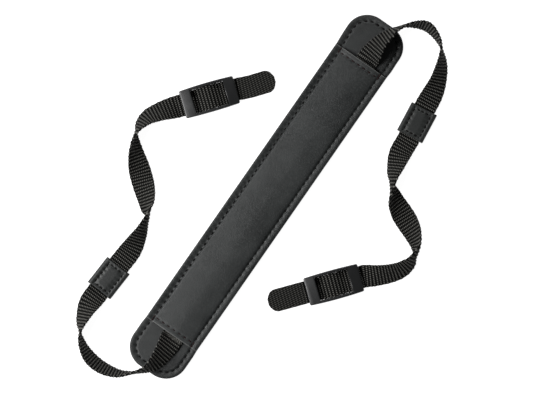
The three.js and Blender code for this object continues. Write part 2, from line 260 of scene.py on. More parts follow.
def leather_finish(name, dark, light, roughness, grain):
    material, tree, shader = new_material(name)
    hide = add(tree, "ShaderNodeGroup", node_tree=leather_grain).outputs
    grained = mix(tree, hide["Tone"], (*dark, 1), (*light, 1))
    dusted = mix(tree, calc(tree, "MULTIPLY", hide["Dust"], DUST_SHARE), grained, DUST_GREY)
    # Cut edges are mixed towards a paler grey: the raw edge's own paleness together with a
    # painted highlight.
    cut = add(tree, "ShaderNodeAttribute", attribute_name="cut_edge_and_highlight").outputs["Fac"]
    fill(tree, shader, {
        "Base Color": mix(tree, cut, dusted, CUT_EDGE_AND_HIGHLIGHT_GREY),
        "Roughness": calc(tree, "MULTIPLY_ADD", hide["Tone"], ROUGH_SPAN,
                          roughness - ROUGH_SPAN / 2),
        "Specular IOR Level": 0.5,
        "Normal": bump(tree, hide["Height"], grain, GRAIN_DEPTH),
    })
    return material


pad_leather = leather_finish(
    "pad_leather", dark=(0.0095, 0.0112, 0.0112), light=(0.0245, 0.0272, 0.0268),
    roughness=0.455, grain=0.9)
# The pad's base is the pad's leather made darker and rougher: its darker colour is painted shade
# on the tabs and borders.
base_leather_painted_shade = leather_finish(
    "base_leather_painted_shade", dark=(0.0075, 0.0088, 0.0088), light=(0.0195, 0.0217, 0.0214),
    roughness=0.52, grain=0.9)
keeper_leather = leather_finish(
    "keeper_leather", dark=(0.0077, 0.009, 0.0085), light=(0.0187, 0.0208, 0.02),
    roughness=0.5, grain=0.4)
print("leathers", [m.name for m in (pad_leather, base_leather_painted_shade, keeper_leather)])

# %% [markdown]
# ## Thread and yarn
# The thread is dull, brown across the mouths and black everywhere else. The webbing is a matt
# black yarn with a painted highlight on top of its beads and painted shade in the gaps between
# them. One function gives the height of the weave both to this colour with its painted light
# and, later, to the shape of the sheet, so that the two agree.

# %% Thread and yarn finishes
RIB_PITCH = 2.05
RIB_POWER = 1.1
BEAD_PITCH = 1.3
BEAD_POWER = 0.9
BEAD_DEPTH = 0.85
BEAD_SHIFT, BEAD_LEAN = 0.5, 0.35
TAIL_FLATNESS = 0.6
TAIL_SLANT = 0.21
# Painted light on the webbing: how the highlight on the bead tops grows with height, how much it
# varies, how much weaker it is on the tail, and the black and pale grey that it mixes.
BEAD_HIGHLIGHT_POWER = 4.2
HIGHLIGHT_SPAN, HIGHLIGHT_LEAST = 1.2, 0.4
TAIL_HIGHLIGHT_LOSS = 0.55
TOP_SHINE = 0.45
YARN_DARK, YARN_HIGHLIGHT = (0.0012, 0.0012, 0.0011, 1), (0.176, 0.173, 0.158, 1)


def thread_finish(name, colour):
    material, tree, shader = new_material(name)
    where = add(tree, "ShaderNodeTexCoord").outputs["Object"]
    fibre = noise(tree, where, scale=5000.0)
    fill(tree, shader, {
        "Base Color": (*colour, 1), "Roughness": 0.8, "Specular IOR Level": 0.15,
        "Normal": bump(tree, fibre, strength=0.6, distance=0.00005),
    })
    return material


def weave_height(tree, place):
    """The weave's height, 0 to 1, at a place: along, across, and 1 on the free tail."""
    place = add(tree, "ShaderNodeSeparateXYZ", {0: place}).outputs
    along, across, tail = place["X"], place["Y"], place["Z"]
    ribs = calc(tree, "DIVIDE", along, RIB_PITCH)
    in_rib = calc(tree, "FRACT", ribs)
    arch = calc(tree, "SINE", calc(tree, "MULTIPLY", in_rib, math.pi))
    rib = calc(tree, "POWER", arch, RIB_POWER)
    rib = calc(tree, "MULTIPLY_ADD", calc(tree, "SUBTRACT", 1.0, rib),
               calc(tree, "MULTIPLY", tail, TAIL_FLATNESS), rib)
    shifted = calc(tree, "MULTIPLY_ADD", calc(tree, "FLOOR", ribs), BEAD_SHIFT,
                   calc(tree, "MULTIPLY", in_rib, BEAD_LEAN))
    slanting = calc(tree, "MULTIPLY", along, TAIL_SLANT / BEAD_PITCH)
    difference = calc(tree, "SUBTRACT", slanting, shifted)
    phase = calc(tree, "MULTIPLY_ADD", tail, difference, shifted)
    beads = calc(tree, "ADD", calc(tree, "DIVIDE", across, BEAD_PITCH), phase)
    wave = calc(tree, "ABSOLUTE", calc(tree, "SINE", calc(tree, "MULTIPLY", beads, math.pi)))
    bead = calc(tree, "MULTIPLY_ADD", calc(tree, "POWER", wave, BEAD_POWER), BEAD_DEPTH,
                1 - BEAD_DEPTH)
    return calc(tree, "MULTIPLY", rib, bead)


def yarn_finish():
    material, tree, shader = new_material("webbing_yarn")
    place = add(tree, "ShaderNodeAttribute", attribute_name="weave").outputs["Vector"]
    height = weave_height(tree, place)
    drawn_out = add(tree, "ShaderNodeVectorMath", {0: place, 1: (0.8, 5.0, 1.0)},
                    operation="MULTIPLY").outputs[0]
    fibres = noise(tree, drawn_out, scale=1.6, detail=3.0)
    # Painted highlight: the tops of the beads are mixed towards pale grey, less on the tail, and
    # the near-black left in the gaps is painted shade.
    bead_highlight = calc(tree, "MULTIPLY", calc(tree, "POWER", height, BEAD_HIGHLIGHT_POWER),
                calc(tree, "MULTIPLY_ADD", fibres, HIGHLIGHT_SPAN, HIGHLIGHT_LEAST))
    tail = add(tree, "ShaderNodeSeparateXYZ", {0: place}).outputs["Z"]
    bead_highlight = calc(tree, "MULTIPLY", bead_highlight,
                calc(tree, "MULTIPLY_ADD", tail, -TAIL_HIGHLIGHT_LOSS, 1.0))
    fill(tree, shader, {
        "Base Color": mix(tree, bead_highlight, YARN_DARK, YARN_HIGHLIGHT),
        "Roughness": calc(tree, "MULTIPLY_ADD", height, -TOP_SHINE, 1.0),
        "Specular IOR Level": 0.12,
        "Normal": bump(tree, height, strength=1.0, distance=0.0003),
    })
    return material


black_thread = thread_finish("black_thread", (0.003, 0.0025, 0.0025))
brown_thread = thread_finish("brown_thread", (0.017, 0.0085, 0.0085))
webbing_yarn = yarn_finish()
print("thread and yarn", [m.name for m in (black_thread, brown_thread, webbing_yarn)])

# %% [markdown]
# ## Plastic and table
# The buckles are moulded in black plastic with a fine rough skin, glossier in some places than
# in others. Two noises are enough for that, a fine one for the skin and a slow one for the
# gloss. The table is one plain sheet that glows.

# %% Plastic and table finishes
GLOSS_LEAST, GLOSS_SPAN = 0.24, 0.2
TABLE_GLOW = 0.965


def plastic_finish():
    material, tree, shader = new_material("buckle_plastic")
    where = add(tree, "ShaderNodeTexCoord").outputs["Object"]
    spark = noise(tree, where, scale=3200.0)
    haze = noise(tree, where, scale=150.0, detail=4.0)
    fill(tree, shader, {
        "Base Color": (0.013, 0.0135, 0.014, 1),
        "Roughness": calc(tree, "MULTIPLY_ADD", haze, GLOSS_SPAN, GLOSS_LEAST),
        "Normal": bump(tree, spark, strength=0.35, distance=0.00004),
    })
    return material


def table_finish():
    material, tree, shader = new_material("table")
    fill(tree, shader, {
        "Base Color": (0.4, 0.4, 0.4, 1), "Roughness": 0.9, "Specular IOR Level": 0.0,
        "Emission Color": (1, 1, 1, 1), "Emission Strength": TABLE_GLOW,
    })
    return material


buckle_plastic = plastic_finish()
print("plastic", buckle_plastic.name)

# %% [markdown]
# ## Mesh helpers
# Every soft piece is a closed skin over a grid of points. One helper joins rows of points with
# four-sided faces, and others make the mesh and the object, with its faces turned outwards.


# %% Mesh helpers
def grid_faces(rows, columns, ring):
    """Faces between rows of points. A ring also joins each row's last point to its first."""
    index = np.arange(rows * columns).reshape(rows, columns)
    if ring:
        index = np.concatenate([index, index[:, :1]], axis=1)
    corners = (index[:-1, :-1], index[:-1, 1:], index[1:, 1:], index[1:, :-1])
    return np.stack(corners, axis=-1).reshape(-1, 4).tolist()


def new_mesh(name, points, edges, faces):
    """A mesh from points in millimetres."""
    mesh = bpy.data.meshes.new(name)
    mesh.from_pydata((np.asarray(points) * MM).tolist(), edges, faces)
    return mesh


def make_piece(name, points, faces, material):
    """A smooth closed object whose faces look outwards."""
    mesh = new_mesh(name, points, [], faces)
    shell = bmesh.new()
    shell.from_mesh(mesh)
    bmesh.ops.remove_doubles(shell, verts=shell.verts, dist=1e-6)
    bmesh.ops.recalc_face_normals(shell, faces=shell.faces)
    shell.to_mesh(mesh)
    shell.free()
    mesh.shade_smooth()
    mesh.materials.append(material)
    piece = new_object(name, mesh)
    print(name, len(mesh.polygons), "faces")
    return piece


def smooth_step(x, low, high):
    t = np.clip((x - low) / (high - low), 0, 1)
    return t * t * (3 - 2 * t)


TABLE_HALF = 2500
TABLE_TOP = -0.02
corners = [(x * TABLE_HALF, y * TABLE_HALF, TABLE_TOP)
           for x, y in ((-1, -1), (1, -1), (1, 1), (-1, 1))]
table_mesh = make_piece("table", corners, [(0, 1, 2, 3)], table_finish())

# %% [markdown]
# ## Seams
# The maker sews a line of thread all round the pad a few millimetres in from the edge, and one
# across each mouth of the sleeve. The thread pulls the leather into a groove, deepest under the
# middle of each stitch. A groove's depth is a function of the distance from its seam.

# %% Sizes of the pad, and its seams
PAD_HALF_LENGTH = 139.5
PAD_HALF_WIDTH = 20.2
PAD_CORNER = 15.0
SEAM_LEFT = 15.7
SEAM_RIGHT = -15.5
TAB_SEAM = 16.0
TAB_END = 135.2
TAB_CORNER = 10.8
MOUTH_A = 109.5
MOUTH_B = -110.5
MOUTH_SEAM = 3.4
STITCH_PITCH = 4.3
STITCH_LENGTH = 2.7
STITCH_THICKNESS = 1.15
MEAN_PULL, PULL_SWING = 0.72, 0.28


def box_distance(x, y, half_x, half_y, corner):
    """How far inside a rounded rectangle about the middle a point is."""
    px, py = np.abs(x) - half_x + corner, np.abs(y) - half_y + corner
    outside = np.hypot(np.maximum(px, 0), np.maximum(py, 0))
    return corner - outside - np.minimum(np.maximum(px, py), 0)


def edge_distance(x, y):
    return box_distance(x, y, PAD_HALF_LENGTH, PAD_HALF_WIDTH, PAD_CORNER)


def seam_distance(x, y):
    """Signed distance from the seam that goes round the pad, positive inside it."""
    return box_distance(x, y, TAB_END, TAB_SEAM, TAB_CORNER)


def groove(distance, depth, outer, inner):
    """A furrow at distance 0 that rises over one width outside and another inside."""
    width = np.where(distance < 0, outer, inner)
    return -depth * np.exp(-(distance / width) ** 2)


def rim(distance, reach, drop):
    """The drop of a rounded edge that reaches some way in."""
    share = np.clip(distance / reach, 0, 1)
    return drop * (np.sqrt(1 - (1 - share) ** 2) - 1)


def pinch(place, pitch):
    """How deep thread pulls, 1 in the middle of a stitch and less between two stitches."""
    return MEAN_PULL + PULL_SWING * np.cos(2 * np.pi * place / pitch)


def stitch_run(start, stop, pitch):
    """The first and last stitch of a straight seam that holds a whole number of pitches."""
    count = np.floor((stop - start) / pitch)
    spare = (stop - start - count * pitch) / 2
    return start + spare, stop - spare


LONG_SEAM = stitch_run(MOUTH_B + 2.2, MOUTH_A - 2.2, STITCH_PITCH)
CROSS_SEAM = stitch_run(SEAM_RIGHT + 1.6, SEAM_LEFT - 1.6, STITCH_PITCH)
print("long seam", LONG_SEAM, "cross seam", CROSS_SEAM)

# %% [markdown]
# ## Shoulder pad
# The pad is two leathers with a thin foam between them, sewn and cut to a long rounded
# outline. It is made as rings: the outline drawn smaller and smaller, close together at the
# edge and the seam, with the height of each point from its distance to the edge and the seam.

# %% Shoulder pad
PAD_EDGE_HEIGHT = 3.4
PAD_CROWN = 0.3
OUTLINE_STEP = 0.6


def outline_points(inset):
    """Points of the pad's outline, drawn smaller by inset, as many on each."""
    corner = PAD_CORNER - inset
    half_x, half_y = PAD_HALF_LENGTH - PAD_CORNER, PAD_HALF_WIDTH - PAD_CORNER
    straight = np.arange(-half_x, half_x, OUTLINE_STEP)
    turn = np.linspace(0, np.pi / 2, 24, endpoint=False)
    short = np.linspace(-half_y, half_y, 10, endpoint=False)
    parts = [
        (straight, np.full_like(straight, -half_y - corner)),
        (half_x + corner * np.sin(turn), -half_y - corner * np.cos(turn)),
        (np.full_like(short, half_x + corner), short),
        (half_x + corner * np.cos(turn), half_y + corner * np.sin(turn)),
    ]
    x, y = (np.concatenate(values) for values in zip(*parts))
    return np.concatenate([x, -x]), np.concatenate([y, -y])


TAB_START = 113.0
TAB_SIDE = TAB_END - TAB_CORNER - TAB_START
TAB_ARC = TAB_CORNER * np.pi / 2
TAB_ACROSS = 2 * (TAB_SEAM - TAB_CORNER)
TAB_SEAM_LENGTH = 2 * (TAB_SIDE + TAB_ARC) + TAB_ACROSS
TAB_PITCH = TAB_SEAM_LENGTH / round(TAB_SEAM_LENGTH / STITCH_PITCH)
END_SWELL = 0.35
END_SHIFT = 0.3
CROWN_REACH = 14
PAD_SEAM_DEPTH = 0.75
PAD_BASE_INSET = 0.5
SKIRT = ((0.1, 0.35), (0.0, 0.8), (0.0, 1.3))
EDGE_INSETS = [0.05, 0.2, 0.45, 0.8, 1.2, 1.8, *np.arange(2.2, 8.0, 0.3)]
SPINE_SHARES = (0.88, 0.72, 0.55, 0.38, 0.2, 0.0)


def swell(x, y):
    """The pad's ends are a little wider than its middle, and one lies a little to the left."""
    past = smooth_step(np.abs(x), TAB_START - 4, TAB_START + 3)
    shift = END_SHIFT * smooth_step(x, TAB_START, TAB_START + 10)
    return y * (1 + END_SWELL / PAD_HALF_WIDTH * past) + shift


def along_tab_seam(x, y):
    """How far along the seam round the pad's end a point is, from its left side."""
    past = np.abs(x) - TAB_END + TAB_CORNER
    side = TAB_SEAM - TAB_CORNER
    left = TAB_SIDE + TAB_CORNER * np.arctan2(np.maximum(past, 0), np.maximum(y - side, 1e-6))
    left = np.where(past < 0, TAB_SIDE + past, left)
    back = TAB_CORNER * np.arctan2(np.maximum(past, 0), np.maximum(-y - side, 1e-6))
    right = TAB_SEAM_LENGTH - TAB_SIDE - np.where(past < 0, past, back)
    middle = TAB_SIDE + TAB_ARC + side - y
    return np.where(y > side, left, np.where(y < -side, right, middle))


def pad_top(x, y):
    """The height of the upper side. Its edge is rounder on the right than on the left."""
    seam = seam_distance(x, y)
    crown = PAD_CROWN * np.sin(np.pi / 2 * np.clip(seam / CROWN_REACH, 0, 1)) ** 0.8
    depth = PAD_SEAM_DEPTH * pinch(along_tab_seam(x, y), TAB_PITCH)
    left = smooth_step(y, -12, 12)
    edge = rim(edge_distance(x, y), reach=2.4 - 1.4 * left, drop=1.2 - 0.3 * left)
    return PAD_EDGE_HEIGHT + edge + crown + groove(seam, depth, outer=1.6, inner=0.75)


def shoulder_pad():
    """Rings from the underside up the skirt, over the edge and in to the spine."""
    x, y = outline_points(PAD_BASE_INSET)
    rings = [np.stack([x, swell(x, y), np.zeros_like(x)], axis=1)]
    for inset, z in SKIRT:
        x, y = outline_points(inset)
        rings.append(np.stack([x, swell(x, y), np.full_like(x, z)], axis=1))
    for inset in EDGE_INSETS:
        x, y = outline_points(inset)
        rings.append(np.stack([x, swell(x, y), pad_top(x, y)], axis=1))
    spine = np.clip(x, -PAD_HALF_LENGTH + PAD_HALF_WIDTH, PAD_HALF_LENGTH - PAD_HALF_WIDTH)
    for share in SPINE_SHARES:
        px, py = spine + (x - spine) * share, y * share
        rings.append(np.stack([px, swell(px, py), pad_top(px, py)], axis=1))
    faces = grid_faces(len(rings), x.size, True)
    faces.append(list(range(x.size)))
    return make_piece("shoulder_pad", np.concatenate(rings), faces, base_leather_painted_shade)


pad = shoulder_pad()
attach(pad, "root")
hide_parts("pad_base")

# %% [markdown]
# ## Sleeve
# The sleeve is one leather panel, stretched over the webbing and sewn down along both edges.
# Between the seams it arches like a low vault, and its ends are cut edges that stand open. It
# is a grid across and along the pad: the upper side carries the arch and the seams, and the
# lower side leaves the tunnel for the webbing.

# %% Sleeve
SLEEVE_EDGE = 4.85
SLEEVE_RISE = 1.6
FALLS = (
    # How the arch falls from its crest to each seam: side, start, stop, drop, power
    (1, -2.0, SEAM_LEFT, 1.35, 1.8),
    (1, 12.0, SEAM_LEFT, 0.12, 2.0),
    (-1, 1.0, -SEAM_RIGHT, 1.35, 1.7),
    (-1, 11.0, -SEAM_RIGHT, 0.3, 2.5),
)
LEFT_DEPTH, RIGHT_DEPTH, CROSS_DEPTH = 0.95, 0.7, 0.5
LIP_A, LIP_B = (0.3, 2.5), (-0.25, 6.0)
TUNNEL_MIDDLE, TUNNEL_SIDE = 5.8, 3.7
TUNNEL_WALL = (11.2, 15.8)
THINNEST = 0.3
EDGE_ROWS = [20.2, 20.17, 20.05, 19.8, 19.5, 19.1, 18.6]
MOUTH_ROWS = np.array([0.0, 0.08, 0.3, 0.7, 1.2])


def mouth_distance(x):
    """How far inside the nearest mouth a place along the sleeve is."""
    return np.minimum(MOUTH_A - x, x - MOUTH_B)


def sleeve_top(x, y):
    vault = SLEEVE_RISE
    for side, start, stop, drop, power in FALLS:
        vault = vault - drop * np.clip((side * y - start) / (stop - start), 0, 1) ** power
    edges = (rim(PAD_HALF_WIDTH - y, reach=0.8, drop=0.8)
             + rim(PAD_HALF_WIDTH + y, reach=2.4, drop=1.3))
    pull = pinch(x - LONG_SEAM[0], STITCH_PITCH)
    seams = (groove(SEAM_LEFT - y, LEFT_DEPTH * pull, outer=2.2, inner=0.65)
             + groove(y - SEAM_RIGHT, RIGHT_DEPTH * pull, outer=1.1, inner=0.8))
    mouth = mouth_distance(x)
    inside = np.minimum(SEAM_LEFT - y, y - SEAM_RIGHT)
    cross_pull = pinch(y - CROSS_SEAM[0], STITCH_PITCH) * smooth_step(inside, 0.0, 1.5)
    cross = groove(mouth - MOUTH_SEAM, CROSS_DEPTH * cross_pull, outer=0.9, inner=0.9)
    lift_a, lift_b = (rise * np.exp(-mouth / reach) for rise, reach in (LIP_A, LIP_B))
    ends = np.where(x > 0, lift_a, lift_b) * smooth_step(inside, 0.0, 6.0)
    return SLEEVE_EDGE + edges + vault + seams + cross + ends


def sleeve_under(y):
    """The roof of the tunnel, which comes down on the pad outside the webbing."""
    fall = smooth_step(np.abs(y), *TUNNEL_WALL)
    return TUNNEL_MIDDLE + (TUNNEL_SIDE - TUNNEL_MIDDLE) * fall


def sleeve():
    across = [*EDGE_ROWS, *np.arange(18.2, 14.0, -0.3), *np.arange(13.8, 0.2, -0.8)]
    across = np.array([*across, 0.0, *[-y for y in across[::-1]]])
    along = np.concatenate([MOUTH_B + MOUTH_ROWS, np.arange(MOUTH_B + 1.6, MOUTH_A - 1.4, 0.65),
                            MOUTH_A - MOUTH_ROWS[::-1]])
    x, y = np.meshgrid(along, across, indexing="ij")
    top = sleeve_top(x, y)
    under = np.minimum(sleeve_under(y), top - THINNEST)
    top = top + rim(mouth_distance(x) + 0.02, reach=0.3, drop=0.3)
    upper = np.stack([x, y, top], axis=-1)
    lower = np.stack([x, y, under], axis=-1)[:, ::-1]
    rows = np.concatenate([upper, lower], axis=1)
    count = rows.shape[1]
    faces = grid_faces(len(rows), count, True)
    for first in (0, (len(rows) - 1) * count):
        last = first + count - 1
        faces.extend([(first + i, first + i + 1, last - 1 - i, last - i)
                      for i in range(across.size - 1)])
    piece = make_piece("sleeve", rows.reshape(-1, 3), faces, pad_leather)
    # Both mouths are cut edges, paler than the face of the hide, with a painted highlight on
    # them
    pale = piece.data.attributes.new("cut_edge_and_highlight", "FLOAT", "POINT")
    paleness_and_highlight = 1 - smooth_step(mouth_distance(rows[..., 0]).ravel(), 0.25, 0.6)
    pale.data.foreach_set("value", paleness_and_highlight.astype(np.float32))
    return piece


sleeve_piece = sleeve()
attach(sleeve_piece, "root")
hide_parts("pad_sleeve")

# %% [markdown]
# ## Stitches
# Saddle stitching is one short length of thread after another, each dipping into a hole. The
# seam lines are drawn as edges just over the grooves, and Geometry Nodes put one thread on
# each pitch, turned along the line. The same tree sews the pad and both keepers.


# %% Stitch tree
def stitch_tree():
    tree, given, out = node_group("stitches along a seam", "GeometryNodeTree", [
        ("INPUT", "Geometry", SHAPE, None),
        ("INPUT", "Pitch", FLOAT, STITCH_PITCH * MM),
        ("INPUT", "Length", FLOAT, STITCH_LENGTH * MM),
        ("INPUT", "Thickness", FLOAT, STITCH_THICKNESS * MM),
        ("INPUT", "Seed", "NodeSocketInt", 7),
        ("INPUT", "Thread", "NodeSocketMaterial", None),
        ("OUTPUT", "Geometry", SHAPE, None),
    ])
    line = add(tree, "GeometryNodeMeshToCurve", {"Mesh": given["Geometry"]})
    spots = add(tree, "GeometryNodeCurveToPoints", {
        "Curve": line.outputs[0], "Length": given["Pitch"],
    }, mode="LENGTH")
    turned = add(tree, "FunctionNodeAlignRotationToVector", {
        "Vector": spots.outputs["Tangent"],
    }, axis="X")
    size = add(tree, "ShaderNodeCombineXYZ", {
        "X": given["Length"], "Y": given["Thickness"], "Z": given["Thickness"],
    })
    ball = add(tree, "GeometryNodeMeshUVSphere", {"Segments": 8, "Rings": 7, "Radius": 0.5})
    thread = add(tree, "GeometryNodeTransform", {
        "Geometry": ball.outputs["Mesh"], "Scale": size.outputs[0],
    })
    uneven = add(tree, "FunctionNodeRandomValue", {
        "Min": (0.8, 0.75, 0.8), "Max": (1.12, 1.1, 1.05), "Seed": given["Seed"],
    }, data_type="FLOAT_VECTOR")
    placed = add(tree, "GeometryNodeInstanceOnPoints", {
        "Points": spots.outputs["Points"], "Instance": thread.outputs[0],
        "Rotation": turned.outputs[0], "Scale": uneven.outputs["Value"],
    })
    real = add(tree, "GeometryNodeRealizeInstances", {"Geometry": placed.outputs[0]})
    smooth = add(tree, "GeometryNodeSetShadeSmooth", {"Geometry": real.outputs[0]})
    dyed = add(tree, "GeometryNodeSetMaterial", {
        "Geometry": smooth.outputs[0], "Material": given["Thread"],
    })
    tree.links.new(dyed.outputs[0], out.inputs[0])
    return tree


def run_tree(piece, tree, values):
    """Runs a Geometry Nodes tree on a piece and keeps the result as a plain mesh."""
    modifier = piece.modifiers.new(tree.name, "NODES")
    modifier.node_group = tree
    for item in tree.interface.items_tree:
        if item.name in values:
            modifier[item.identifier] = values[item.name]
    depsgraph = bpy.context.evaluated_depsgraph_get()
    result = bpy.data.meshes.new_from_object(piece.evaluated_get(depsgraph), depsgraph=depsgraph)
    piece.modifiers.clear()
    piece.data = result
    print(piece.name, len(result.polygons), "faces after", tree.name)


sew = stitch_tree()
print("tree", sew.name, "with", len(sew.nodes), "nodes")


def seam_lines(name, lines, values, thread=black_thread):
    """Threads along lines of points, with their sizes in millimetres."""
    points, edges = [], []
    for line in lines:
        start = len(points)
        points.extend(line)
        edges.extend((start + i, start + i + 1) for i in range(len(line) - 1))
    piece = new_object(name, new_mesh(name, points, edges, []))
    sizes = {key: value * MM for key, value in values.items()}
    run_tree(piece, sew, {**sizes, "Thread": thread})
    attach(piece, "root")

# %% [markdown]
# ## Stitches of the pad
# Black stitches run round both ends of the pad and along both edges of the sleeve. Brown ones
# cross each mouth, with a tack at each corner. Their lines are read from the functions that
# give the leather its height, so that every thread lies in its groove.

# %% Stitches of the pad
THREAD_LIFT = 0.08
TACK_RUN = (1.1, 3.3)


def on_sleeve(x, y):
    return np.stack([x, y, sleeve_top(x, y) + THREAD_LIFT], axis=1)


def long_seam(y):
    """The line of one long seam of the sleeve."""
    x = np.linspace(*LONG_SEAM, 400)
    return on_sleeve(x, np.full_like(x, y))


def tab_seam(sign):
    """The seam round the end of the pad, from one side of the mouth to the other."""
    turn = np.linspace(0, np.pi / 2, 40)
    middle_x, middle_y = TAB_END - TAB_CORNER, TAB_SEAM - TAB_CORNER
    straight = np.linspace(TAB_START, middle_x, 12)[:-1]
    x = np.concatenate([straight, middle_x + TAB_CORNER * np.sin(turn)])
    y = np.concatenate([np.full_like(straight, TAB_SEAM), middle_y + TAB_CORNER * np.cos(turn)])
    x, y = sign * np.concatenate([x, x[::-1]]), np.concatenate([y, -y[::-1]])
    return np.stack([x, swell(x, y), pad_top(x, y) + THREAD_LIFT], axis=1)


def mouth_seams():
    """The seam across each mouth, and a tack of two threads from its ends to the cut edge."""
    lines, tacks = [], []
    for mouth, inwards in ((MOUTH_A, -1), (MOUTH_B, 1)):
        y = np.linspace(*CROSS_SEAM, 60)
        lines.append(on_sleeve(np.full_like(y, mouth + inwards * MOUTH_SEAM), y))
        for side in (SEAM_LEFT, SEAM_RIGHT):
            x = mouth + inwards * np.linspace(*TACK_RUN, 5)
            tacks.append(on_sleeve(x, np.full_like(x, side)))
    return lines, tacks


seam_lines("pad_stitches", [tab_seam(1), tab_seam(-1), long_seam(SEAM_LEFT)], {})
seam_lines("right_stitches", [long_seam(SEAM_RIGHT)], {"Length": 2.2, "Thickness": 0.85})
across, corners = mouth_seams()
seam_lines("mouth_stitches", across, {"Length": 2.5, "Thickness": 0.95}, brown_thread)
seam_lines("mouth_tacks", corners, {"Pitch": 2.1, "Length": 2.2, "Thickness": 1.3}, brown_thread)

# %% [markdown]
# ## Webbing
# Webbing is woven flat and stiff across, so it goes round a bend by turning on its edge. Its
# route is a table of the places it passes, with its roll about its own length, what it lies
# on if not the table, and how far it is cupped. A smooth curve runs through them, and a rounded
# cross-section is carried along it. Only the hidden stretch in the tunnel has wide steps.

# %% Routes of the webbing
ON_PAD, ON_TABLE, IN_KEEPER, ON_BAR = 4.0, 0.15, 1.5, 3.1
ROUTES = {
    "a": {
        "lead": [
            (0.15, -1, 0, ON_PAD), (55, -1.5, 0, ON_PAD), (108, -2.9, 0, ON_PAD),
            (111.6, -3.1, 0, ON_PAD), (114.8, -3, -14, ON_PAD), (118.5, -2.9, -30, ON_PAD),
            (123.5, -2.9, -43, ON_PAD), (128.5, -3.6, -55, ON_PAD), (133.6, -5.1, -65, ON_PAD),
            (139, -6.7, -76, 3.8), (144.6, -10.2, -89, 1.8, 0.4), (149.6, -15.5, -102, 0.5, 0.4),
            (152.6, -22.5, -110), (151.4, -30, -103), (148, -36.8, -92, ON_TABLE, 0.4),
            (142.1, -42.2, -72, ON_TABLE, 0.4), (135.1, -46.1, -55), (127.4, -49.1, -41),
            (118.9, -51, -20, 0.6),
        ],
        "keeper": (97, -53.6, 186.8),
        "twist": [
            (74.8, -55.9, 12, 0.6), (66.3, -58, 42, ON_TABLE, 0.6),
            (58.5, -60.3, 66, ON_TABLE, 1.8), (52.6, -64.5, 97, ON_TABLE, 2.4),
            (46.6, -70.6, 136, ON_TABLE, 1.2), (42.7, -78.3, 165), (39.2, -86.2, 196),
            (35.4, -93.5, 221, ON_TABLE, 0.8), (30.8, -99.4, 247, ON_TABLE, 2),
            (24.9, -102, 274, ON_TABLE, 2.4), (18.3, -102.6, 302, ON_TABLE, 1),
            (11.1, -100.2, 317), (4.7, -95.5, 326), (-1.4, -89, 338),
        ],
        "buckle": (-22.4, -69.5, 140.2),
        "drift": 0,
    },
    "b": {
        "lead": [
            (-0.15, -1, 0, ON_PAD), (-55, -1, 0, ON_PAD), (-109, -1.6, 0, ON_PAD),
            (-112.6, -1.9, 0, ON_PAD), (-115.6, -2.1, -14, ON_PAD), (-120, -2.4, -30, ON_PAD),
            (-126, -2.4, -43, ON_PAD), (-132, -1.8, -55, ON_PAD), (-139.3, 0.7, -73, 3.7),
            (-145.8, 6.4, -88, 1.6, 0.4), (-151, 12.5, -102, 0.3, 0.4), (-153.6, 19.9, -113),
            (-154.6, 27.7, -119), (-153.6, 35.4, -118), (-150.4, 42.5, -107),
            (-145.5, 48.7, -93, ON_TABLE, 0.4), (-138.9, 52.7, -67, ON_TABLE, 0.4),
            (-131.4, 54.8, -45), (-124, 56, -18, 0.6),
        ],
        "keeper": (-103.7, 55.1, -3.2),
        "twist": [
            (-81, 53.8, 16, 0.6), (-72, 54.3, 44, ON_TABLE, 0.4), (-64, 55, 66, ON_TABLE, 1.2),
            (-56, 57, 88, ON_TABLE, 1.8), (-50.4, 60.7, 124, ON_TABLE, 1), (-45.1, 65.6, 147),
            (-40, 71.3, 168), (-34.9, 77.4, 189), (-29.6, 83.3, 214),
            (-23.7, 89.2, 238, ON_TABLE, 0.6), (-17.2, 93.8, 262, ON_TABLE, 1.2),
            (-9.6, 95.7, 293, ON_TABLE, 0.6), (-1.4, 94.3, 313), (5.5, 90.3, 325),
            (11.6, 85.6, 343),
        ],
        "buckle": (32.5, 68.7, -38.9),
        "drift": 0.7,
    },
}
# How far along a keeper or buckle, what the webbing lies on there, and its share of drift
KEEPER_STATIONS = [(d, IN_KEEPER, 0) for d in (-13.5, -10.5, 0, 10.5, 13.5)]
BUCKLE_STATIONS = [
    *[(d, ON_TABLE, 0) for d in (-21.5, -18.5, -11.2, -8.2)],
    *[(d, ON_BAR, 0) for d in (-2.2, 2.2)],
    *[(d, ON_TABLE, 0) for d in (8.2, 11.2, 18.5)],
    *[(d, ON_TABLE, 1) for d in (27.3, 36.1, 44.9)],
]
HALF_WIDTH = 7.5
HALF_THICKNESS = 0.75


def row(x, y, roll, rest=ON_TABLE, cup=0):
    """One row of a route, flat and on the table unless it says otherwise."""
    return x, y, roll, rest, cup


def straight_rows(place, stations, roll, drift=0):
    """Rows along a keeper or buckle, where the webbing is straight."""
    x, y, heading = place
    cos, sin = math.cos(math.radians(heading)), math.sin(math.radians(heading))
    return [row(x + d * cos + share * drift * sin, y + d * sin - share * drift * cos, roll, rest)
            for d, rest, share in stations]


def route_rows(route):
    lead, twist = [row(*r) for r in route["lead"]], [row(*r) for r in route["twist"]]
    keeper = straight_rows(route["keeper"], KEEPER_STATIONS, 0)
    buckle = straight_rows(route["buckle"], BUCKLE_STATIONS, 360, route["drift"])
    return np.array([*lead, *keeper, *twist, *buckle], dtype=float)


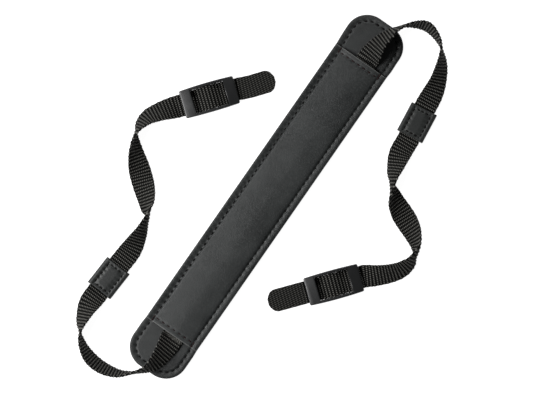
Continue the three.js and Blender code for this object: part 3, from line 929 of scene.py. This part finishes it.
def smooth_curve(rows, places):
    """A curve through the rows, read at places counted in rows."""
    first, last = 2 * rows[0] - rows[1], 2 * rows[-1] - rows[-2]
    knots = np.concatenate([[first], rows, [last]])
    span = np.clip(np.floor(places).astype(int), 0, len(rows) - 2)
    t = (places - span)[:, None]
    p0, p1, p2, p3 = (knots[span + k] for k in range(4))
    m1, m2 = (p2 - p0) / 2, (p3 - p1) / 2
    return ((2 * t ** 3 - 3 * t ** 2 + 1) * p1 + (t ** 3 - 2 * t ** 2 + t) * m1
            + (3 * t ** 2 - 2 * t ** 3) * p2 + (t ** 3 - t ** 2) * m2)


def middle_height(roll, rest, cup):
    """The height of the webbing's middle when its lowest edge lies on its rest."""
    angle = np.radians(roll)
    edge = HALF_WIDTH * np.abs(np.sin(angle)) + cup / 2 * np.cos(angle)
    return rest + edge + HALF_THICKNESS * np.abs(np.cos(angle))


print("rows", {side: len(route_rows(route)) for side, route in ROUTES.items()})

# %% [markdown]
# ## Weave
# The face of the webbing is rows of beads: where a thick cross yarn bulges, each lengthwise
# yarn goes over it, and every second row is shifted by half a bead. The sheet is first made
# smooth, with its place along and across stored on each point. A Geometry Nodes tree then
# moves each point by the weave's height there, so that beads rise and the gaps between sink.

# %% Weave tree
RELIEF = 0.00055
WEAVE_LEVEL = 0.75
SELVEDGE = 0.2
SELVEDGE_LOSS, TAIL_LOSS = 0.5, 0.6


def weave_tree():
    tree, given, out = node_group("weave relief", "GeometryNodeTree", [
        ("INPUT", "Geometry", SHAPE, None),
        ("INPUT", "Relief", FLOAT, RELIEF),
        ("OUTPUT", "Geometry", SHAPE, None),
    ])
    place = add(tree, "GeometryNodeInputNamedAttribute", {"Name": "weave"},
                data_type="FLOAT_VECTOR").outputs["Attribute"]
    parts = add(tree, "ShaderNodeSeparateXYZ", {0: place}).outputs
    height = calc(tree, "SUBTRACT", weave_height(tree, place), WEAVE_LEVEL)
    selvedge = calc(tree, "GREATER_THAN", calc(tree, "ABSOLUTE", parts["Y"]),
                    HALF_WIDTH - SELVEDGE)
    share = calc(tree, "MULTIPLY", calc(tree, "MULTIPLY_ADD", selvedge, -SELVEDGE_LOSS, 1.0),
                 calc(tree, "MULTIPLY_ADD", parts["Z"], -TAIL_LOSS, 1.0))
    amount = calc(tree, "MULTIPLY", calc(tree, "MULTIPLY", height, share), given["Relief"])
    normal = add(tree, "GeometryNodeInputNormal").outputs["Normal"]
    push = add(tree, "ShaderNodeVectorMath", {0: normal, "Scale": amount}, operation="SCALE")
    moved = add(tree, "GeometryNodeSetPosition", {
        "Geometry": given["Geometry"], "Offset": push.outputs[0],
    })
    real = add(tree, "GeometryNodeRealizeInstances", {"Geometry": moved.outputs[0]})
    dyed = add(tree, "GeometryNodeSetMaterial", {
        "Geometry": real.outputs[0], "Material": webbing_yarn,
    })
    tree.links.new(dyed.outputs[0], out.inputs[0])
    return tree


weave = weave_tree()
print("tree", weave.name, "with", len(weave.nodes), "nodes")

# %% [markdown]
# ## Webbing sheets
# Each webbing is one strip, flat in section with rounded edges. Simulated cloth would not come
# to rest in the very folds of the photograph, while a section that is carried along the route
# lies just there. Every point stores how far along and across it is, for the weave to read.

# %% Webbing sheets
SECTION_STEP = RIB_PITCH / 5
HIDDEN_STEP = 3.0
HIDDEN_LENGTH = 98.0
FACE_POINTS = 46
FACE_SHARE = 0.965
TAIL = 26.4
TAIL_PATTERN = 24.4
TAIL_ROUND, TAIL_LEAST = 6.0, 0.3
BUCKLE_FILL = 0.28


def section_places(rows):
    """Places along the route, evenly spaced in millimetres and wide where it is hidden."""
    fine = np.linspace(0, len(rows) - 1, 6000)
    spots = smooth_curve(rows, fine)[:, :2]
    length = np.concatenate([[0], np.cumsum(np.hypot(*np.diff(spots, axis=0).T))])
    wanted = np.concatenate([np.arange(0, HIDDEN_LENGTH, HIDDEN_STEP),
                             np.arange(HIDDEN_LENGTH, length[-1], SECTION_STEP), [length[-1]]])
    return np.interp(wanted, length, fine), wanted


def ring_profile():
    """The webbing's cross-section, as shares of half its width and half its thickness."""
    face = np.linspace(-1, 1, FACE_POINTS)
    side = np.array([0.55, 0.0, -0.55])
    across = np.concatenate([face * FACE_SHARE, np.full(3, 1.0),
                             -face * FACE_SHARE, np.full(3, -1.0)])
    up = np.concatenate([np.ones(FACE_POINTS), side, -np.ones(FACE_POINTS), -side])
    return across, up


def half_width(to_end):
    """Half the width at a distance from the end: rounded there, and filling the buckle."""
    reach = np.clip(to_end / TAIL_ROUND, 0, 1)
    width = HALF_WIDTH * np.maximum(np.sqrt(1 - (1 - reach) ** 2), TAIL_LEAST)
    in_buckle = (smooth_step(to_end, TAIL + 1, TAIL + 5)
                 - smooth_step(to_end, TAIL + 32, TAIL + 36))
    return width + BUCKLE_FILL * in_buckle


def ribbon(rows):
    """The cross-section carried along the route, and how far along and across each point is."""
    heights = middle_height(rows[:, 2], rows[:, 3], rows[:, 4])
    places, along = section_places(rows)
    table = np.concatenate([rows, heights[:, None]], axis=1)
    x, y, roll, rest, cup, z = smooth_curve(table, places).T
    z = np.maximum(z, middle_height(roll, np.maximum(rest, ON_TABLE), cup))
    middle = np.stack([x, y, z], axis=1)
    tangent = np.gradient(middle, along, axis=0)
    tangent /= np.linalg.norm(tangent, axis=1, keepdims=True)
    right = np.cross(tangent, (0, 0, 1))
    right /= np.linalg.norm(right, axis=1, keepdims=True)
    up = np.cross(right, tangent)
    angle = np.radians(roll)[:, None]
    face = up * np.cos(angle) + right * np.sin(angle)
    weft = right * np.cos(angle) - up * np.sin(angle)
    share, lift = ring_profile()
    across = half_width(along[-1] - along)[:, None] * share
    bulge = cup[:, None] * (0.5 - share ** 2) + lift * HALF_THICKNESS
    points = (middle[:, None] + weft[:, None] * across[..., None]
              + face[:, None] * bulge[..., None])
    return points, along, across


def store_weave(piece, along, across, tail):
    """Each point's place in the weave: along and across in millimetres, and 1 on the tail."""
    count = across.shape[1]
    values = np.stack([
        np.repeat(along, count), across.ravel(), np.repeat(tail.astype(float), count),
    ], axis=1)
    attribute = piece.data.attributes.new("weave", "FLOAT_VECTOR", "POINT")
    attribute.data.foreach_set("vector", values.astype(np.float32).ravel())


def webbing(side):
    points, along, across = ribbon(route_rows(ROUTES[side]))
    count = across.shape[1]
    faces = grid_faces(len(along), count, True)
    for first in (0, (len(along) - 1) * count):
        faces.append(list(range(first, first + count)))
    piece = make_piece(f"webbing_{side}_woven", points.reshape(-1, 3), faces, webbing_yarn)
    store_weave(piece, along, across, along[-1] - along < TAIL_PATTERN)
    run_tree(piece, weave, {"Relief": RELIEF})
    piece.data.shade_smooth()
    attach(piece, "root")
    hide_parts(f"webbing_{side}")


for side in "ab":
    webbing(side)

# %% [markdown]
# ## Keepers
# A keeper is a strip of leather folded round the webbing and sewn to itself, with a rectangle
# of stitches that sinks a frame into its face. It is a tube with a rounded cross-section: an
# outer and an inner ring are carried along it, joined at the two cut ends.

# %% Keepers
KEEPER_HALF = 10.5
KEEPER_HALF_WIDTH = 9.5
KEEPER_HEIGHT = 4.5
KEEPER_LEATHER = 1.2
KEEPER_SEAM_X = 8.0
KEEPER_SEAM_Y = 6.0
KEEPER_PITCH = 3.2
KEEPER_GROOVE = 0.6
FACE_LEVEL = KEEPER_HEIGHT - 0.2
SIDE_WALL = 1.25
OUTER_ROUND, INNER_ROUND = 1.7, 0.6
FLAT_POINTS = 48
MIDDLE_LOSS = 0.35
CUT_PLACES = np.array([1.0, 0.995, 0.98, 0.955])
CUT_ROUND = np.array([0.3, 0.14, 0.05, 0.0])
MIDDLE_PLACES = np.linspace(-0.92, 0.92, 50)
EASE_STEP, EASE_WIDTH = 0.05, 0.35


def rounded_ring(half, low, high, radius, points):
    """A rounded rectangle across and up, its sides joined by quarter turns."""
    turn = np.linspace(0, np.pi / 2, 7)[1:]
    sin, cos = radius * np.sin(turn), radius * np.cos(turn)
    right, left = radius - half, half - radius
    flat = np.linspace(right, left, points)
    y = np.concatenate([flat, left + sin, left + cos, flat[::-1][1:], right - sin, right - cos])
    z = np.concatenate([np.full(points, low), low + radius - cos, high - radius + sin,
                        np.full(points - 1, high), high - radius + cos, low + radius - sin])
    return y, z


def eased(table):
    """A table of places and heights, read finely and smoothed over half a millimetre."""
    places = np.arange(-12, 12, EASE_STEP)
    rough = np.interp(places, *np.array(table, dtype=float).T)
    bell = np.exp(-(np.arange(-0.9, 0.95, EASE_STEP) / EASE_WIDTH) ** 2)
    smooth = np.convolve(np.pad(rough, 18, mode="edge"), bell / bell.sum(), mode="valid")
    return np.stack([places, smooth], axis=1)


# Heights across the face from the right edge to the left one: how the face lies, and the
# furrow on each side of the panel
KEEPER_LIE = eased([
    (-9.5, -0.3), (-8.6, -0.2), (-7.3, 0.1), (-5.7, 0.0), (-2, 0.06), (0, 0.08), (3, 0.05),
    (5.7, 0.0), (7.6, 0.08), (8.6, -0.2), (9.5, -0.5),
])
KEEPER_GROOVES = eased([
    (-7.2, 0.0), (-5.9, -0.6), (-5.3, -0.52), (-2.5, 0.0), (3.6, 0.0), (5.3, -0.5), (5.9, -0.6),
    (7.6, 0.0),
])


def keeper_seam(x, y):
    """Signed distance from the rectangle of stitches, positive inside it."""
    return -np.maximum(np.abs(x) - KEEPER_SEAM_X, np.abs(y) - KEEPER_SEAM_Y)


def turned(points, place):
    """Points of a piece drawn along X, moved to its place on the strap."""
    x, y, heading = place
    cos, sin = math.cos(math.radians(heading)), math.sin(math.radians(heading))
    result = np.array(points, dtype=float)
    result[:, 0] = x + points[:, 0] * cos - points[:, 1] * sin
    result[:, 1] = y + points[:, 0] * sin + points[:, 1] * cos
    return result


def keeper_place(side):
    """Where a keeper lies, and 1 or -1 so that the left of the face is left on both."""
    place = ROUTES[side]["keeper"]
    return place, math.copysign(1, math.cos(math.radians(place[2])))


def keeper_face(x, y, way):
    """The height of the upper face of a keeper that lies this way round."""
    seam = keeper_seam(x, y)
    on_side = np.abs(y) - KEEPER_SEAM_Y > np.abs(x) - KEEPER_SEAM_X
    depth = KEEPER_GROOVE * pinch(np.where(on_side, x, y), KEEPER_PITCH)
    across = groove(seam, np.where(on_side, 0, depth), outer=0.8, inner=0.6)
    in_panel = smooth_step(seam, 0, 2)
    lie = np.interp(way * y, KEEPER_LIE[:, 0], KEEPER_LIE[:, 1])
    side_grooves = np.interp(way * y, KEEPER_GROOVES[:, 0], KEEPER_GROOVES[:, 1])
    reach = smooth_step(KEEPER_SEAM_X + 0.8 - np.abs(x), 0, 0.8)
    pull = np.where(on_side, pinch(x, KEEPER_PITCH), 1)
    return FACE_LEVEL + lie + side_grooves * reach * pull + across + 0.1 * in_panel


def half_length(y):
    """Half a keeper's length, whose folds stand out a little beyond its middle."""
    return KEEPER_HALF - MIDDLE_LOSS * smooth_step(KEEPER_HALF_WIDTH - np.abs(y), 1.0, 2.4)


def keeper(side):
    place, way = keeper_place(side)
    y, z = rounded_ring(KEEPER_HALF_WIDTH, 0, FACE_LEVEL, OUTER_ROUND, FLAT_POINTS)
    low, high = KEEPER_LEATHER, KEEPER_HEIGHT - KEEPER_LEATHER - 0.05
    yi, zi = rounded_ring(KEEPER_HALF_WIDTH - SIDE_WALL, low, high, INNER_ROUND, FLAT_POINTS)
    stations = np.concatenate([-CUT_PLACES, MIDDLE_PLACES, CUT_PLACES[::-1]])
    shrink = np.concatenate([CUT_ROUND, np.zeros_like(MIDDLE_PLACES), CUT_ROUND[::-1]])
    on_top, on_wall = z > KEEPER_HEIGHT - 0.5, np.abs(y) > 7.5
    rings = []
    for share, less in zip(stations, shrink):
        x = share * half_length(y)
        zz = np.where(on_top, keeper_face(x, y, way), z)
        zz = zz - less * np.sign(zz - KEEPER_HEIGHT / 2)
        rings.append(np.stack([x, y - less * np.sign(y) * on_wall, np.maximum(zz, 0.0)], axis=1))
    for share in stations[::-1]:
        rings.append(np.stack([share * half_length(yi), yi, zi], axis=1))
    faces = grid_faces(len(rings), y.size, True)
    last = (len(rings) - 1) * y.size
    faces.extend([(last + i, last + (i + 1) % y.size, (i + 1) % y.size, i)
                  for i in range(y.size)])
    points = turned(np.concatenate(rings), place)
    piece = make_piece(f"keeper_{side}_leather", points, faces, keeper_leather)
    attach(piece, "root")
    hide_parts(f"keeper_{side}")


def keeper_stitches(side):
    """Three stitches across each end of the panel and five along each side."""
    place, way = keeper_place(side)
    lines = []
    for sign in (1, -1):
        run = np.linspace(-KEEPER_PITCH, KEEPER_PITCH, 9)
        lines.append((np.full_like(run, sign * KEEPER_SEAM_X), run))
        run = np.linspace(-2 * KEEPER_PITCH, 2 * KEEPER_PITCH, 17)
        lines.append((run, np.full_like(run, sign * KEEPER_SEAM_Y)))
    lines = [turned(np.stack([x, y, keeper_face(x, y, way) + THREAD_LIFT], axis=1), place)
             for x, y in lines]
    seam_lines(f"keeper_{side}_stitches", lines,
               {"Pitch": KEEPER_PITCH, "Length": 2.6, "Thickness": 1.25})


for side in "ab":
    keeper(side)
    keeper_stitches(side)

# %% [markdown]
# ## Buckles
# A slider buckle is one moulding: a barrel-shaped frame with an arched top, two end plates and
# a bar. Its true shape is already in the frame, so a copy of it is merged, its flat faces are
# joined again, and a bevel rounds its sharp upper edges as the mould does.


# %% Buckles
MOULD_RADIUS = 0.55
LOWEST_ROUNDED = 2.6
FLAT_ANGLE, SHARP_ANGLE = math.radians(0.6), math.radians(40)


def buckle(side):
    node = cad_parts[f"buckle_{side}"]
    mesh = node.data.copy()
    mesh.name = f"buckle_{side}_moulded"
    shell = bmesh.new()
    shell.from_mesh(mesh)
    bmesh.ops.remove_doubles(shell, verts=shell.verts, dist=1e-6)
    bmesh.ops.dissolve_limit(shell, angle_limit=FLAT_ANGLE,
                             verts=shell.verts, edges=shell.edges)
    crests = [edge for edge in shell.edges
              if min(v.co.z for v in edge.verts) > LOWEST_ROUNDED * MM
              and edge.calc_face_angle(0) > SHARP_ANGLE]
    bmesh.ops.bevel(shell, geom=crests, offset=MOULD_RADIUS * MM, offset_type="OFFSET",
                    segments=4, profile=0.5, affect="EDGES", clamp_overlap=False)
    shell.to_mesh(mesh)
    shell.free()
    mesh.materials.clear()
    mesh.materials.append(buckle_plastic)
    mesh.shade_smooth()
    piece = new_object(mesh.name, mesh)
    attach(piece, "root")
    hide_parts(f"buckle_{side}")
    print(piece.name, len(mesh.polygons), "faces")


for side in "ab":
    buckle(side)
